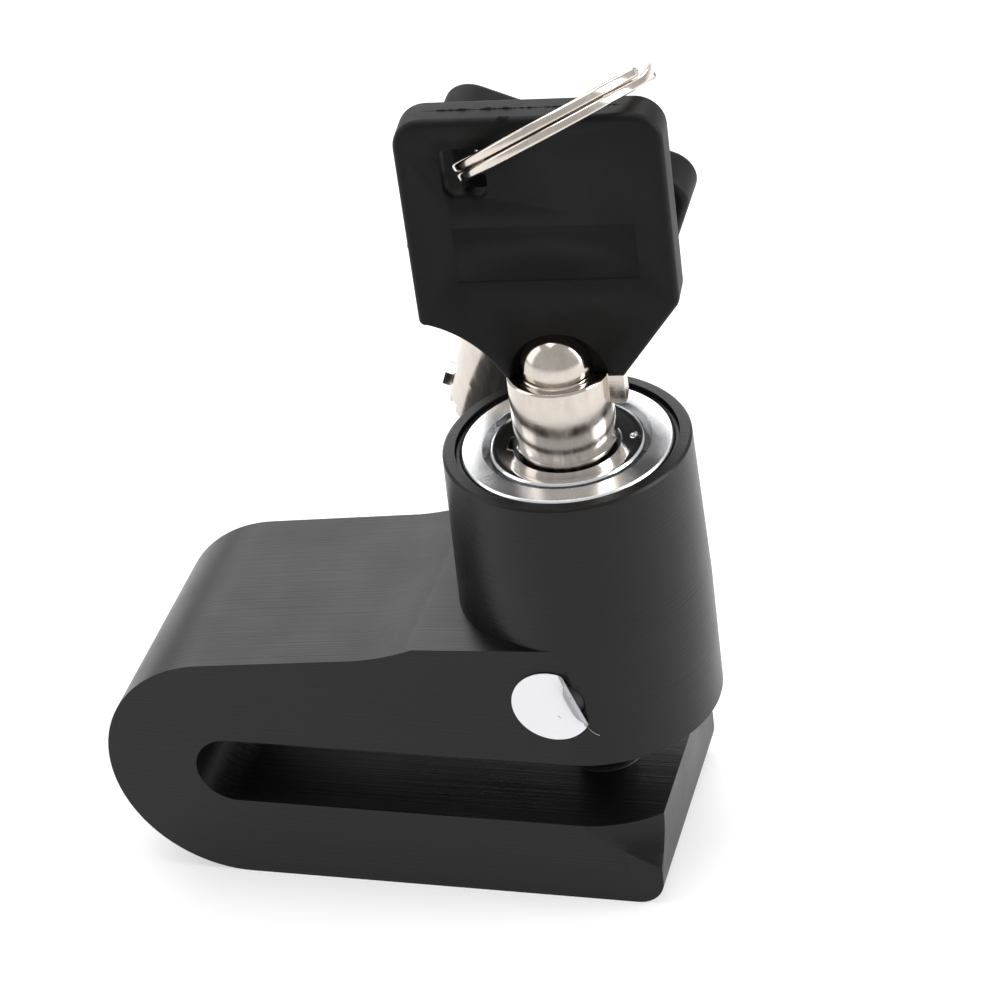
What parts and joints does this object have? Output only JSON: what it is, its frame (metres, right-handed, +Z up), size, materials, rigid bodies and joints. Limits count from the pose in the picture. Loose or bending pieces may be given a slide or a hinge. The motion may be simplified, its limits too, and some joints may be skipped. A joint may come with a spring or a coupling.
{
  "type": "motorcycle disc brake lock",
  "caption": "Push-down plunger disc brake lock: slotted black block, round turret with tubular-key core, key inserted, spare key on a split ring.",
  "frame": {"origin": "on the bolt's axis at the underside of the lower jaw", "axes": "+Z up along the bolt and plunger, +X out of the slot's mouth, -Y is the front with the seal"},
  "size_m": [0.0641, 0.037, 0.0891],
  "materials": {
    "anodised_black": "black anodised, satin",
    "plunger_chrome": "turned and chromed",
    "core_chrome": "turned and chromed",
    "bush_black": "black oxide",
    "bolt_steel": "hardened, ground",
    "spring_steel": "drawn wire",
    "pin_brass": "turned",
    "zinc_cast": "zinc plated",
    "seal_paper": "coated paper",
    "key_nickel": "nickel plated",
    "grip_plastic": "moulded, fine texture",
    "ring_nickel": "nickel plated spring wire"
  },
  "bodies": {
    "body": {"lock_body": "anodised_black", "jaw_bush": "bolt_steel", "retaining_bush": "bush_black", "spring_seat": "bolt_steel", "strike_plug": "bolt_steel", "round_seal": "seal_paper", "lift_spring": "spring_steel"},
    "plunger": {"plunger_sleeve": "plunger_chrome", "locking_bolt": "bolt_steel", "bolt_cross_pin": "bolt_steel", "core_housing": "core_chrome", "stator": "pin_brass", "core_pin": "bolt_steel", "driver_pins": "pin_brass", "driver_springs": "spring_steel", "latch_spring": "spring_steel"},
    "latch": {"latch": "bolt_steel"},
    "plug": {"rotor": "core_chrome", "key_pins": "pin_brass", "drive_cam": "zinc_cast", "tail_clip": "spring_steel"},
    "key": {"key_barrel": "key_nickel", "key_head": "grip_plastic"},
    "ring": {"split_ring": "ring_nickel"},
    "spare_key": {"spare_key_barrel": "key_nickel", "spare_key_head": "grip_plastic"}
  },
  "joints": [
    {"name": "plunger_slide", "type": "slide", "parent": "body", "child": "plunger", "axis": [0, 0, 1], "range_m": [0, 0.012], "deforming": ["lift_spring"]},
    {"name": "latch_slide", "type": "slide", "parent": "plunger", "child": "latch", "axis": [0, 1, 0], "range_m": [0, 0.0012], "deforming": ["latch_spring"]},
    {"name": "plug_turn", "type": "hinge", "parent": "plunger", "child": "plug", "pos_m": [0, 0, 0.045], "axis": [0, 0, -1], "range_deg": [0, 90]},
    {"name": "key_pull", "type": "slide", "parent": "plug", "child": "key", "axis": [0, 0, 1], "range_m": [0, 0.012]},
    {"name": "ring_swing", "type": "hinge", "parent": "key", "child": "ring", "pos_m": [-0.00617, -0.00156, 0.08024], "axis": [0.429, -0.7427, 0.5142], "range_deg": [0, 40]},
    {"name": "spare_swing", "type": "hinge", "parent": "ring", "child": "spare_key", "pos_m": [-0.00582, 0.00816, 0.07689], "axis": [-0.4879, -0.8719, 0.0428], "range_deg": [-30, 0]}
  ],
  "couplings": [
    {"joint": "latch_slide", "follows": "plunger_slide", "ratio": 0.1}
  ]
}
